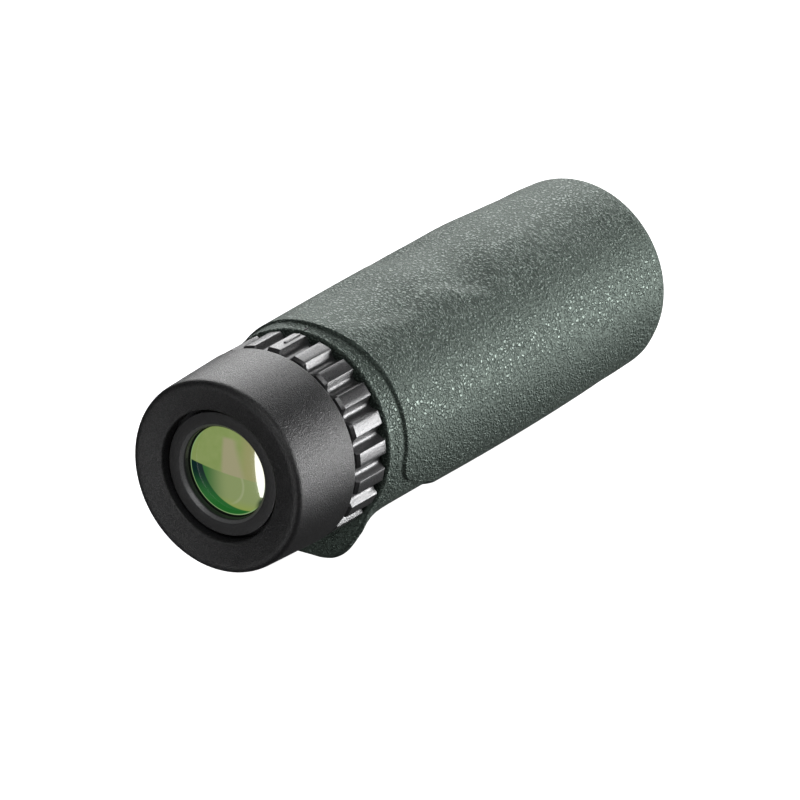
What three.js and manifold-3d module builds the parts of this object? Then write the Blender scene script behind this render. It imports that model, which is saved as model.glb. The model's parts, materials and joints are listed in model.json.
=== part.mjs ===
// A compact roof-prism monocular: twist-up eyecup, toothed focus ring, armoured barrel with a lanyard lug.
// Millimetres. +Y runs along the optical axis from the eye to the far end, +Z is up, +X is to the right.
// Stations along the axis ("t") are measured from the eyecup's rim, and angles run from +Z towards +X.

import * as THREE from 'three';
import { mergeVertices } from 'three/addons/utils/BufferGeometryUtils.js';
import Module from 'manifold-3d';

const wasm = await Module();
wasm.setup();

// ---------------------------------------------------------------- driving dimensions

const LENGTH = 115;            // eyecup rim to objective rim, eyecup down
const BODY_RADIUS = 19;        // armoured grip
const AXIS_HEIGHT = 24;        // optical axis above the lug's flat foot
const GAP = 0.3;               // clearance between pieces that touch
const OUTER_STEPS = 48;        // facets round the visible pieces
const INNER_STEPS = 28;        // facets round the pieces inside
const SLOT_STEP = 10;          // degrees between the sections of a helical slot
const SLOT_PLAY = 5;           // degrees a slot runs on past each end of its pin's travel
const CUTTER = 1;              // how far a cutting piece stands clear of what it cuts

const CUP = { rim: 17.8, rear: 18.3, end: 16.4, mouth: 12.05, mouthStation: 1.0, lipBack: 3.4, bore: 15.9 };
const SLEEVE = { outer: 15.6, inner: 14.0, start: 3.7, end: 16.2 };
const GUIDE = { recess: 14.9, start: 13.4, end: 15.8, keyWidth: 2.0, angle: 60 };
const TWIST = { lead: 26, range: 90, pins: 3, pinStation: 5.4, pinRadius: 0.8, pinInner: 12.3, pinOuter: 15.3 };

const TUBE = { outer: 13.6, start: 3.9, land: 14.2, landStart: 18, landEnd: 27, tail: 12, end: 45.7 };
const LENS_BORE = 10.2;        // eyepiece bore that holds the lens stack
const EYE_LENS_EDGE = 9.9;
const SPACER_BORE = 9.0;

const RING = { outer: 18.2, inner: 15.9, start: 17.6, end: 25.9, teeth: 21, chamfer: 0.5 };
const DRIVE = { outer: 15.6, inner: 14.5, start: 18, end: 41 };
const FOCUS = { lead: 6, range: 150, pinAngle: 90, pinStation: 35.5, pinRadius: 0.9, pinInner: 12.9, pinOuter: 15.3 };

const CARRIAGE = { ringInner: 12.3, ringOuter: 14.2, ringStart: 33.5, ringEnd: 37.5 };
const CELL_RING = { outer: 15.6, start: 79, end: 87, bore: 10.7, seat: 9.4, seatEnd: 81 };
const BAR = { inner: 12.6, outer: 13.9, halfWidth: 2 };

const HOUSING = { start: 41.5, wall: 13.6, flange: 15.6, partition: 46, pocket: 48.6, end: 62.2 };
const PRISM_APERTURE = 10;
const PRISM_STATION = 49;
const POCKET = { halfWidth: 5.3, halfHeight: 10.9 };
const CLAMP = { start: 62.6, end: 64, radius: 13.8, aperture: 5.6 };
const CLAMP_SCREW = { radius: 0.7, start: 57.6, end: 64.8, head: 1.2, headEnd: 65.1, offset: 12.2 };
const HOUSING_SCREW = { radius: 1, station: 60.8, inner: 14.2, outer: 17.1 };

const BARREL = { start: 27.6, outer: 17.3, inner: 15.9, muzzle: 16.7, muzzleInner: 15.4, end: 112.6 };
const LEDGE = { start: 62.5, end: 64.5, radius: 14.5 };
const COLLAR = { start: 26.4, radius: 18.2, bore: 16.2, step: 30.2 };
const RIM_BORE = 14.4;         // opening of the armour's far end
const OBJECTIVE = { lens: 13.4, clear: 12.5, bore: 13.7, cell: 15.1, start: 98.5, end: 112.3 };

// The lug under the collar: its front outline as angle and radius, from the collar to the flat foot.
const LUG_OUTLINE = [[118, 17.6], [128, 18.3], [134, 19.0], [140, 20.4], [146.6, 22.4], [153.7, 23.25], [160.2, 23.9]];
const LUG_FOOT_ANGLE = 168.3;  // the flat foot starts here
const LUG_FOOT_LENGTH = 3;     // length of the flat foot behind the collar's front
const LUG_FADE = 3.8;          // length over which the lug fades into the barrel
const STRAP_SLOT = { halfWidth: 5.5, top: 19.1, bottom: 20.8, end: 36 };

// ---------------------------------------------------------------- materials

const paint = (color, roughness, metalness = 0) => new THREE.MeshStandardMaterial({ color, roughness, metalness });
const ARMOUR_RUBBER = paint(0x4d5a50, 0.7);
const EYECUP_RUBBER = paint(0x3a3a3c, 0.75);
const RING_METAL = paint(0x47474a, 0.45, 0.4);
const BLACK_METAL = paint(0x1c1c1e, 0.5, 0.6);
const ALUMINIUM = paint(0x8f9296, 0.4, 0.9);
const STEEL = paint(0xb0b2b5, 0.3, 1);
const BLACK_PLASTIC = paint(0x202022, 0.6);
const SEAL_RUBBER = paint(0x161616, 0.85);
const GLASS = paint(0xcfe8c0, 0.05);

// ---------------------------------------------------------------- solids and booleans

// A closed solid from any closed geometry, with its shared vertices merged and its faces pointing out.
function solidOf(geometry) {
  const bare = geometry.clone();
  bare.deleteAttribute('normal');
  bare.deleteAttribute('uv');
  const merged = mergeVertices(bare, 1e-4);
  const points = merged.attributes.position.array;
  const corners = [];
  for (let i = 0; i < merged.index.count; i += 3) {
    const [a, b, c] = [0, 1, 2].map((k) => merged.index.getX(i + k));
    if (a !== b && b !== c && c !== a) corners.push(a, b, c);
  }
  if (signedVolume(points, corners) < 0) corners.reverse();
  const triVerts = new Uint32Array(corners);
  const mesh = new wasm.Mesh({ numProp: 3, vertProperties: new Float32Array(points), triVerts });
  return new wasm.Manifold(mesh);
}

function signedVolume(points, corners) {
  const at = (i) => new THREE.Vector3(points[3 * i], points[3 * i + 1], points[3 * i + 2]);
  let volume = 0;
  for (let i = 0; i < corners.length; i += 3) {
    volume += at(corners[i]).dot(at(corners[i + 1]).cross(at(corners[i + 2])));
  }
  return volume;
}

function geometryOf(solid) {
  const mesh = solid.getMesh();
  const geometry = new THREE.BufferGeometry();
  geometry.setAttribute('position', new THREE.BufferAttribute(mesh.vertProperties, 3));
  geometry.setIndex(new THREE.BufferAttribute(mesh.triVerts, 1));
  geometry.computeVertexNormals();
  return geometry;
}

// A turned piece: the profile is [radius, station] pairs, closed on itself unless it meets the axis.
function turned(profile, steps = INNER_STEPS) {
  const points = profile.map(([radius, station]) => new THREE.Vector2(radius, station));
  const meetsAxis = profile[0][0] === 0;
  if (!meetsAxis) points.push(points[0].clone());
  return solidOf(new THREE.LatheGeometry(points, steps));
}

// A plain ring between two radii and two stations.
const ring = (inner, outer, start, end, steps = INNER_STEPS) =>
  turned([[inner, start], [outer, start], [outer, end], [inner, end]], steps);

const drum = (radius, start, end, steps = INNER_STEPS) =>
  turned([[0, start], [radius, start], [radius, end], [0, end]], steps);

// A round pin that points away from the axis, between two radii.
function radialPin(radius, inner, outer, station, angle, steps = 16) {
  const pin = new THREE.CylinderGeometry(radius, radius, outer - inner, steps);
  pin.rotateX(Math.PI / 2);
  pin.translate(0, 0, (inner + outer) / 2);
  pin.rotateY(THREE.MathUtils.degToRad(angle));
  pin.translate(0, station, 0);
  return solidOf(pin);
}

function box([x0, y0, z0], [x1, y1, z1]) {
  const block = new THREE.BoxGeometry(x1 - x0, y1 - y0, z1 - z0);
  block.translate((x0 + x1) / 2, (y0 + y1) / 2, (z0 + z1) / 2);
  return solidOf(block);
}

// An outline of [station, height] points in the upright plane through the axis, made as wide as asked.
function slab(outline, halfWidth) {
  const shape = new THREE.Shape(outline.map(([station, height]) => new THREE.Vector2(station, height)));
  const block = new THREE.ExtrudeGeometry(shape, { depth: 2 * halfWidth, bevelEnabled: false });
  block.translate(0, 0, -halfWidth);
  block.applyMatrix4(new THREE.Matrix4().set(0, 0, 1, 0, 1, 0, 0, 0, 0, 1, 0, 0, 0, 0, 0, 1));
  return solidOf(block);
}

// A closed solid through matching sections; each section is fanned from its first corner at the two ends.
function loft(sections) {
  const count = sections[0].length;
  const positions = sections.flat().flatMap((p) => [p.x, p.y, p.z]);
  const index = [];
  for (let s = 0; s + 1 < sections.length; s += 1) {
    for (let i = 0; i < count; i += 1) {
      const a = s * count + i;
      const b = s * count + ((i + 1) % count);
      index.push(a, b, b + count, a, b + count, a + count);
    }
  }
  const last = (sections.length - 1) * count;
  for (let i = 1; i + 1 < count; i += 1) {
    index.push(0, i + 1, i, last, last + i, last + i + 1);
  }
  const geometry = new THREE.BufferGeometry();
  geometry.setAttribute('position', new THREE.Float32BufferAttribute(positions, 3));
  geometry.setIndex(index);
  return solidOf(geometry);
}

function polar(radius, angle, station) {
  const a = THREE.MathUtils.degToRad(angle);
  return new THREE.Vector3(radius * Math.sin(a), station, radius * Math.cos(a));
}

// A slot that winds round the axis: it climbs "lead" for each whole turn away from its middle angle.
function helicalSlot(inner, outer, station, lead, halfWidth, angle, from, to, step) {
  const count = Math.round((to - from) / step);
  const sections = [];
  for (let i = 0; i <= count; i += 1) {
    const turn = from + ((to - from) * i) / count;
    const middle = station + (lead * turn) / 360;
    const corner = (radius, side) => polar(radius, angle + turn, middle + side * halfWidth);
    sections.push([corner(inner, -1), corner(outer, -1), corner(outer, 1), corner(inner, 1)]);
  }
  return loft(sections);
}

// ---------------------------------------------------------------- lenses

const sag = (curve, radius) => (Number.isFinite(curve) ? curve - Math.sqrt(curve * curve - radius * radius) : 0);

// A lens face from the axis to the edge. A positive bulge swells away from the lens, a negative one is hollow.
function lensFace(edge, station, curve, bulge) {
  const rings = 3;
  const face = [];
  for (let i = 0; i <= rings; i += 1) {
    const radius = (edge * i) / rings;
    face.push([radius, station + bulge * (sag(curve, edge) - sag(curve, radius))]);
  }
  return face;
}

// "front" faces the eye and "back" the far end: each is [edge station, radius of curvature, 1 swells or -1 hollow].
function lens(edge, front, back) {
  const near = lensFace(edge, front[0], front[1], -front[2]);
  const far = lensFace(edge, back[0], back[1], back[2]);
  return turned([...near, ...far.reverse()]);
}

// ---------------------------------------------------------------- eyecup

function eyecupRubber() {
  const profile = [
    [CUP.mouth, CUP.lipBack],
    [CUP.mouth, CUP.mouthStation],
    [12.4, 0.86],
    [16.6, 0],
    [17.3, 0.08],
    [CUP.rim, 0.7],
    [CUP.rear, CUP.end - 0.4],
    [CUP.rear - 0.3, CUP.end],
    [CUP.bore, CUP.end],
    [CUP.bore, CUP.lipBack],
  ];
  return turned(profile, OUTER_STEPS);
}

function eyecupSleeve() {
  const profile = [
    [SLEEVE.inner, SLEEVE.start],
    [SLEEVE.outer, SLEEVE.start],
    [SLEEVE.outer, SLEEVE.end],
    [SLEEVE.inner, SLEEVE.end],
    [SLEEVE.inner, GUIDE.end],
    [GUIDE.recess, GUIDE.end],
    [GUIDE.recess, GUIDE.start],
    [SLEEVE.inner, GUIDE.start],
  ];
  let sleeve = turned(profile);
  for (let i = 0; i < TWIST.pins; i += 1) {
    const angle = (360 / TWIST.pins) * i;
    const half = TWIST.pinRadius + 0.35;
    const from = -SLOT_PLAY;
    const to = TWIST.range + SLOT_PLAY;
    const slot = helicalSlot(13.4, 16.2, TWIST.pinStation, TWIST.lead, half, angle, from, to, SLOT_STEP);
    sleeve = sleeve.subtract(slot);
  }
  return sleeve;
}

function keyBlock(halfWidth, inner, outer, start, end) {
  const block = new THREE.BoxGeometry(2 * halfWidth, end - start, outer - inner);
  block.translate(0, (start + end) / 2, (inner + outer) / 2);
  block.rotateY(THREE.MathUtils.degToRad(GUIDE.angle));
  return solidOf(block);
}

// The ring slides on the tube, held straight by a tongue in the tube's keyway, and the cup turns on it.
function eyecupGuideRing() {
  const inner = TUBE.outer + GAP;
  const body = ring(inner, GUIDE.recess - GAP, GUIDE.start + GAP, GUIDE.end - GAP);
  const tongue = keyBlock(GUIDE.keyWidth / 2, 13, inner + 0.3, GUIDE.start + GAP, GUIDE.end - GAP);
  return body.add(tongue);
}

const camPin = (angle) => radialPin(TWIST.pinRadius, TWIST.pinInner, TWIST.pinOuter, TWIST.pinStation, angle);

// ---------------------------------------------------------------- eyepiece

function eyepieceTube() {
  const profile = [
    [11.3, TUBE.start],
    [TUBE.outer, TUBE.start],
    [TUBE.outer, 16.4],
    [13.4, 16.4],
    [13.4, TUBE.landStart],
    [TUBE.land, TUBE.landStart],
    [TUBE.land, 20],
    [13.2, 20],
    [13.2, 21.6],
    [TUBE.land, 21.6],
    [TUBE.land, TUBE.landEnd],
    [TUBE.tail, TUBE.landEnd],
    [TUBE.tail, TUBE.end],
    [10.6, TUBE.end],
    [10.6, 28],
    [8.7, 28],
    [8.7, 24.3],
    [LENS_BORE, 24.3],
    [LENS_BORE, 7.3],
    [11.3, 7.3],
  ];
  let tube = turned(profile);
  tube = tube.subtract(keyBlock(GUIDE.keyWidth / 2 + GAP, 12.7, 14, 6.5, 16.3));
  for (let i = 0; i < TWIST.pins; i += 1) {
    tube = tube.subtract(radialPin(TWIST.pinRadius + GAP, 12, 14, TWIST.pinStation, (360 / TWIST.pins) * i));
  }
  return tube;
}

// The visible bezel round the eye lens: a bevelled face with a threaded skirt inside the tube.
function eyepieceCapRing() {
  const profile = [
    [8.5, 2.8],
    [9.2, 2.2],
    [11.1, 2.2],
    [11.4, 2.5],
    [11.4, 3.6],
    [11.0, 3.6],
    [11.0, 7.0],
    [LENS_BORE, 7.0],
    [LENS_BORE, 4.35],
    [8.5, 3.95],
  ];
  return turned(profile);
}

const eyeLens = () => lens(EYE_LENS_EDGE, [4.68, 35, 1], [6.1, 30, 1]);
const eyepieceCrownLens = () => lens(EYE_LENS_EDGE, [10.7, 28, 1], [13.2, 22, 1]);
const eyepieceFlintLens = () => lens(EYE_LENS_EDGE, [13.3, 22, -1], [17.2, 60, 1]);
const fieldLens = () => lens(EYE_LENS_EDGE, [22.3, 30, 1], [24, 80, 1]);

// ---------------------------------------------------------------- focus ring and its drive

const INDEX_RIB = { halfWidth: 0.3, start: 21.3, end: 25.3, sunk: 0.4, proud: 0.2 };

// One tooth and the scallop after it, as [part of the pitch, depth below the tooth tops].
const TOOTH = [[-0.23, 0], [0.23, 0], [0.325, 0.75], [0.41, 1.15], [0.5, 1.3], [0.59, 1.15], [0.675, 0.75]];

function focusRing() {
  const outline = [];
  for (let tooth = 0; tooth < RING.teeth; tooth += 1) {
    for (const [part, depth] of TOOTH) {
      const point = polar(RING.outer - depth, ((tooth + part) * 360) / RING.teeth, 0);
      outline.push(new THREE.Vector2(point.x, -point.z));
    }
  }
  const cut = RING.chamfer;
  const geometry = new THREE.ExtrudeGeometry(new THREE.Shape(outline), {
    depth: RING.end - RING.start - 2 * cut,
    bevelThickness: cut,
    bevelSize: cut,
    bevelOffset: -cut,
    bevelSegments: 1,
  });
  geometry.rotateX(-Math.PI / 2);
  geometry.translate(0, RING.start + cut, 0);
  const { halfWidth, start, end, sunk, proud } = INDEX_RIB;
  const rib = box([-halfWidth, start, RING.outer - sunk], [halfWidth, end, RING.outer + proud]);
  let grip = solidOf(geometry).add(rib).subtract(drum(RING.inner, RING.start - CUTTER, RING.end + CUTTER));
  for (const angle of GRUB_ANGLES) grip = grip.subtract(grubHole(angle));
  return grip;
}

// Two set screws lock the ring to its sleeve, in the scallops underneath and on the left.
const SCALLOP_PITCH = 360 / RING.teeth;
const GRUB_ANGLES = [SCALLOP_PITCH * 10.5, SCALLOP_PITCH * -5.5];
const GRUB_STATION = 22;
const GRUB = { radius: 0.9, inner: 14.9, outer: 16.6 };
const grubHole = (angle) => radialPin(GRUB.radius + GAP, DRIVE.inner - GAP, 18, GRUB_STATION, angle, 12);
const grubScrew = (angle) => radialPin(GRUB.radius, GRUB.inner, GRUB.outer, GRUB_STATION, angle, 12);

function focusDriveSleeve() {
  let sleeve = ring(DRIVE.inner, DRIVE.outer, DRIVE.start, DRIVE.end);
  const half = FOCUS.pinRadius + 0.3;
  const reach = FOCUS.range + SLOT_PLAY;
  sleeve = sleeve.subtract(
    helicalSlot(14, 16.2, FOCUS.pinStation, -FOCUS.lead, half, FOCUS.pinAngle, -reach, reach, SLOT_STEP),
  );
  for (const angle of GRUB_ANGLES) sleeve = sleeve.subtract(grubHole(angle));
  return sleeve;
}

const focusRetainingNut = () => ring(13.75, 15.4, 16.6, 17.7);

function sealRing(radius, thickness, station) {
  const sides = 6;
  const profile = [];
  for (let i = 0; i < sides; i += 1) {
    const a = (2 * Math.PI * i) / sides;
    profile.push([radius + thickness * Math.cos(a), station + thickness * Math.sin(a)]);
  }
  return turned(profile);
}

// ---------------------------------------------------------------- focusing carriage

// A rear ring driven by the pin, a bar that passes the prisms, and a cell for the focusing lens.
function focusCarriage() {
  const rear = ring(CARRIAGE.ringInner, CARRIAGE.ringOuter, CARRIAGE.ringStart, CARRIAGE.ringEnd);
  const bar = box(
    [BAR.inner, CARRIAGE.ringStart + 1, -BAR.halfWidth],
    [BAR.outer, CELL_RING.start + 1, BAR.halfWidth],
  );
  const cell = turned([
    [CELL_RING.seat, CELL_RING.start],
    [CELL_RING.outer, CELL_RING.start],
    [CELL_RING.outer, CELL_RING.end],
    [CELL_RING.bore, CELL_RING.end],
    [CELL_RING.bore, CELL_RING.seatEnd],
    [CELL_RING.seat, CELL_RING.seatEnd],
  ]);
  const pinHole = radialPin(FOCUS.pinRadius + GAP, 12.6, 15, FOCUS.pinStation, FOCUS.pinAngle);
  return rear.add(bar).add(cell).subtract(pinHole);
}

const focusDrivePin = () =>
  radialPin(FOCUS.pinRadius, FOCUS.pinInner, FOCUS.pinOuter, FOCUS.pinStation, FOCUS.pinAngle);
const focusingLens = () => lens(CELL_RING.bore - GAP, [81.3, 45, -1], [84.3, 70, 1]);
const focusingLensRetainer = () => ring(CELL_RING.seat, CELL_RING.bore - GAP, 84.8, 86.2);

// ---------------------------------------------------------------- prisms and their housing

const CHANNEL = { outer: 16.5, halfWidth: 2.4 };
const barChannel = (start, end) =>
  box([CARRIAGE.ringInner, start - CUTTER, -CHANNEL.halfWidth], [CHANNEL.outer, end + CUTTER, CHANNEL.halfWidth]);

function prismHousing() {
  const profile = [
    [12.3, HOUSING.start],
    [HOUSING.flange, HOUSING.start],
    [HOUSING.flange, 44.5],
    [HOUSING.wall, 44.5],
    [HOUSING.wall, 59.3],
    [HOUSING.flange, 59.3],
    [HOUSING.flange, HOUSING.end],
    [5.8, HOUSING.end],
    [5.8, HOUSING.partition],
    [12.3, HOUSING.partition],
  ];
  const wide = POCKET.halfWidth;
  const tall = POCKET.halfHeight;
  let housing = turned(profile);
  housing = housing.subtract(box([-wide, HOUSING.pocket, -tall], [wide, HOUSING.end + CUTTER, tall]));
  housing = housing.subtract(barChannel(HOUSING.start, HOUSING.end));
  for (const side of [-1, 1]) {
    const hole = clampScrewShaft(side, CLAMP_SCREW.radius + GAP, CLAMP_SCREW.start - GAP, HOUSING.end + CUTTER);
    housing = housing.subtract(hole);
  }
  for (const angle of HOUSING_SCREW_ANGLES) {
    housing = housing.subtract(radialPin(HOUSING_SCREW.radius + GAP, 13.9, 17, HOUSING_SCREW.station, angle));
  }
  return housing;
}

const HOUSING_SCREW_ANGLES = [0, 120, 240];
const housingScrew = (angle) =>
  radialPin(HOUSING_SCREW.radius, HOUSING_SCREW.inner, HOUSING_SCREW.outer, HOUSING_SCREW.station, angle, 12);

// The prism faces follow from the aperture: a 45 degree roof prism and a 45 degree half-pentaprism.
const APEX = PRISM_APERTURE * Math.SQRT1_2;
const FAR = APEX + PRISM_APERTURE / 2;

function roofPrism() {
  const s = PRISM_STATION;
  const block = slab([[s, APEX], [s, -PRISM_APERTURE], [s + FAR, APEX - FAR]], PRISM_APERTURE / 2);
  return block.intersect(roofOver(s, -PRISM_APERTURE, s + FAR, APEX - FAR));
}

// A right-angled roof whose ridge runs from one [station, height] point to another.
function roofOver(ridgeStation, ridgeHeight, endStation, endHeight) {
  const along = new THREE.Vector3(0, ridgeStation - endStation, ridgeHeight - endHeight);
  const length = along.length();
  along.normalize();
  const across = new THREE.Vector3(1, 0, 0);
  const inward = along.clone().cross(across);
  const half = PRISM_APERTURE / 2 + 0.2;
  const outline = [[0, 0], [half, half], [half, 3 * half], [-half, 3 * half], [-half, half]];
  const shape = new THREE.Shape(outline.map(([x, y]) => new THREE.Vector2(x, y)));
  const roof = new THREE.ExtrudeGeometry(shape, { depth: length + 8, bevelEnabled: false });
  roof.translate(0, 0, -4);
  roof.applyMatrix4(new THREE.Matrix4().makeBasis(across, inward, along));
  roof.translate(0, endStation, endHeight);
  return solidOf(roof);
}

function halfPentaprism() {
  const air = 0.21;            // each way, so the air gap between the prisms is 0.3
  const s = PRISM_STATION + air;
  const outline = [
    [s, APEX + air],
    [s + FAR, APEX - FAR + air],
    [s + FAR, PRISM_APERTURE / 2 + air],
    [s, PRISM_APERTURE + air],
  ];
  return slab(outline, PRISM_APERTURE / 2);
}

// A bent strip that presses the half-pentaprism down onto its seat.
function prismLeafSpring() {
  const outline = [
    [50.2, 10.42], [60.6, 6.1], [61.0, 6.3], [58.0, 10.6], [57.6, 10.45], [60.2, 6.65], [50.35, 10.75],
  ];
  return slab(outline, 3);
}

function clampScrewShaft(side, radius, start, end) {
  const shaft = new THREE.CylinderGeometry(radius, radius, end - start, 12);
  shaft.translate(0, (start + end) / 2, side * CLAMP_SCREW.offset);
  return solidOf(shaft);
}

function prismClampPlate() {
  let plate = ring(CLAMP.aperture, CLAMP.radius, CLAMP.start, CLAMP.end);
  plate = plate.subtract(barChannel(CLAMP.start, CLAMP.end));
  for (const side of [-1, 1]) {
    const hole = clampScrewShaft(side, CLAMP_SCREW.radius + GAP, CLAMP.start - CUTTER, CLAMP.end + CUTTER);
    plate = plate.subtract(hole);
  }
  return plate;
}

function prismClampScrew(side) {
  const shaft = clampScrewShaft(side, CLAMP_SCREW.radius, CLAMP_SCREW.start, CLAMP_SCREW.end);
  return shaft.add(clampScrewShaft(side, CLAMP_SCREW.head, CLAMP.end + GAP, CLAMP_SCREW.headEnd));
}

// ---------------------------------------------------------------- barrel and armour

function barrel() {
  const profile = [
    [BARREL.inner, BARREL.start],
    [BARREL.outer, BARREL.start],
    [BARREL.outer, 98],
    [BARREL.muzzle, 101],
    [BARREL.muzzle, BARREL.end],
    [BARREL.muzzleInner, BARREL.end],
    [BARREL.muzzleInner, 98.2],
    [BARREL.inner, 98.2],
    [BARREL.inner, LEDGE.end],
    [LEDGE.radius, LEDGE.end],
    [LEDGE.radius, LEDGE.start],
    [BARREL.inner, LEDGE.start],
  ];
  let tube = turned(profile);
  for (const angle of HOUSING_SCREW_ANGLES) {
    tube = tube.subtract(radialPin(HOUSING_SCREW.radius + GAP, 15, 18, HOUSING_SCREW.station, angle));
  }
  return tube;
}

// Radius of the lug's front outline at an angle between 118 and 180 degrees.
function lugRadius(angle) {
  const foot = (a) => AXIS_HEIGHT / Math.abs(Math.cos(THREE.MathUtils.degToRad(a)));
  if (angle >= LUG_FOOT_ANGLE) return foot(angle);
  const outline = [...LUG_OUTLINE, [LUG_FOOT_ANGLE, foot(LUG_FOOT_ANGLE)]];
  const i = outline.findIndex(([a]) => a > angle);
  const [[a0, r0], [a1, r1]] = [outline[i - 1], outline[i]];
  return r0 + ((r1 - r0) * (angle - a0)) / (a1 - a0);
}

// The lug's radius at a station: full size in front, then fading into the barrel behind the flat foot.
function lugSectionRadius(angle, station, inset) {
  const full = lugRadius(angle) - inset;
  const flatLength = LUG_FOOT_LENGTH * THREE.MathUtils.smoothstep(angle, 146, LUG_FOOT_ANGLE);
  const behind = Math.max(0, station - COLLAR.start - flatLength);
  return COLLAR.radius + (full - COLLAR.radius) * Math.exp(-behind / LUG_FADE);
}

function lug() {
  const halfAngles = [...LUG_OUTLINE.map(([angle]) => angle), 164.5, LUG_FOOT_ANGLE, 174];
  const mirrored = [...halfAngles].reverse().map((angle) => 360 - angle);
  const angles = [...halfAngles, 180, ...mirrored];
  const stations = [[0, 1.0], [0.4, 0.3], [1.0, 0], [3.0, 0], [4.4, 0], [6, 0], [8, 0], [10.5, 0], [14, 0.5]];
  const sections = stations.map(([offset, inset]) => {
    const station = COLLAR.start + offset;
    const rim = angles.map((angle) => {
      const half = angle > 180 ? 360 - angle : angle;
      return polar(lugSectionRadius(half, station, inset), angle, station);
    });
    return [new THREE.Vector3(0, station, -10), ...rim];
  });
  return loft(sections);
}

function armour() {
  const skin = turned([
    [0, COLLAR.start],
    [17.8, COLLAR.start],
    [COLLAR.radius, 26.8],
    [18.45, COLLAR.step - 0.6],
    [BODY_RADIUS, COLLAR.step],
    [BODY_RADIUS, 95],
    [18.6, 101.7],
    [18.4, 108],
    [18.1, 112.4],
    [17.5, 114.2],
    [16.6, LENGTH],
    [0, LENGTH],
  ], OUTER_STEPS);
  const bore = turned([
    [0, COLLAR.start - CUTTER],
    [COLLAR.bore, COLLAR.start - CUTTER],
    [COLLAR.bore, BARREL.start - GAP],
    [BARREL.outer + GAP, BARREL.start - GAP],
    [BARREL.outer + GAP, 98],
    [BARREL.muzzle + GAP, 101],
    [BARREL.muzzle + GAP, BARREL.end + GAP],
    [RIM_BORE, BARREL.end + GAP],
    [RIM_BORE, LENGTH + CUTTER],
    [0, LENGTH + CUTTER],
  ], OUTER_STEPS);
  const slot = box(
    [-STRAP_SLOT.halfWidth, COLLAR.start - CUTTER, -STRAP_SLOT.bottom],
    [STRAP_SLOT.halfWidth, STRAP_SLOT.end, -STRAP_SLOT.top],
  );
  return skin.add(lug()).subtract(bore).subtract(slot);
}

// ---------------------------------------------------------------- objective

function objectiveCell() {
  const profile = [
    [12.3, OBJECTIVE.start],
    [OBJECTIVE.cell, OBJECTIVE.start],
    [OBJECTIVE.cell, 109.8],
    [14.35, 109.8],
    [14.35, 111.2],
    [OBJECTIVE.cell, 111.2],
    [OBJECTIVE.cell, OBJECTIVE.end],
    [OBJECTIVE.bore, OBJECTIVE.end],
    [OBJECTIVE.bore, 100.5],
    [12.3, 100.5],
  ];
  return turned(profile);
}

const objectiveFrontLens = () => lens(OBJECTIVE.lens, [105, 40, 1], [107, 45, 1]);
const objectiveRearLens = () => lens(OBJECTIVE.lens, [100.8, 120, -1], [104.9, 40, -1]);
const objectiveRetainingRing = () => ring(OBJECTIVE.clear, OBJECTIVE.lens, 107.6, 109.2);

// A thin dark trim ring that closes the gap between the armour's rim and the cell.
function objectiveBezel() {
  const profile = [
    [12.9, 109.6],
    [OBJECTIVE.lens, 109.6],
    [OBJECTIVE.lens, 112.6],
    [14.1, 112.6],
    [14.1, 113.6],
    [13.8, 113.9],
    [13.3, 113.9],
    [12.9, 113.5],
  ];
  return turned(profile);
}

const glareStop = () => ring(11.2, CELL_RING.outer, 92.5, 94);

// ---------------------------------------------------------------- assembly

const monocular = new THREE.Group();
monocular.position.set(0, -LENGTH / 2, AXIS_HEIGHT);

function place(name, solid, material) {
  const mesh = new THREE.Mesh(geometryOf(solid), material);
  mesh.name = name;
  monocular.add(mesh);
}

place('eyecup_rubber', eyecupRubber(), EYECUP_RUBBER);
place('eyecup_sleeve', eyecupSleeve(), BLACK_PLASTIC);
place('eyecup_guide_ring', eyecupGuideRing(), BLACK_PLASTIC);
for (let i = 0; i < TWIST.pins; i += 1) {
  place(`eyecup_cam_pin_${i + 1}`, camPin((360 / TWIST.pins) * i), STEEL);
}

place('eyepiece_tube', eyepieceTube(), BLACK_METAL);
place('eyepiece_cap_ring', eyepieceCapRing(), BLACK_METAL);
place('eye_lens', eyeLens(), GLASS);
place('eyepiece_front_spacer', ring(SPACER_BORE, EYE_LENS_EDGE, 6.4, 10.4), BLACK_METAL);
place('eyepiece_crown_lens', eyepieceCrownLens(), GLASS);
place('eyepiece_flint_lens', eyepieceFlintLens(), GLASS);
place('eyepiece_rear_spacer', ring(SPACER_BORE, EYE_LENS_EDGE, 17.5, 22), BLACK_METAL);
place('field_lens', fieldLens(), GLASS);
place('field_stop', ring(6, 10.3, 31.5, 32.7), BLACK_METAL);

place('focus_ring', focusRing(), RING_METAL);
place('focus_drive_sleeve', focusDriveSleeve(), ALUMINIUM);
GRUB_ANGLES.forEach((angle, i) => place(`focus_grub_screw_${i + 1}`, grubScrew(angle), STEEL));
place('focus_retaining_nut', focusRetainingNut(), BLACK_METAL);
place('focus_seal_ring', sealRing(13.9, 0.5, 20.8), SEAL_RUBBER);

place('focus_carriage', focusCarriage(), BLACK_PLASTIC);
place('focus_drive_pin', focusDrivePin(), STEEL);
place('focusing_lens', focusingLens(), GLASS);
place('focusing_lens_retainer', focusingLensRetainer(), BLACK_METAL);

place('prism_housing', prismHousing(), BLACK_METAL);
place('roof_prism', roofPrism(), GLASS);
place('half_pentaprism', halfPentaprism(), GLASS);
place('prism_leaf_spring', prismLeafSpring(), STEEL);
place('prism_clamp_plate', prismClampPlate(), BLACK_METAL);
[-1, 1].forEach((side, i) => place(`prism_clamp_screw_${i + 1}`, prismClampScrew(side), STEEL));
HOUSING_SCREW_ANGLES.forEach((angle, i) => place(`housing_screw_${i + 1}`, housingScrew(angle), STEEL));

place('barrel', barrel(), ALUMINIUM);
place('armour', armour(), ARMOUR_RUBBER);

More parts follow.
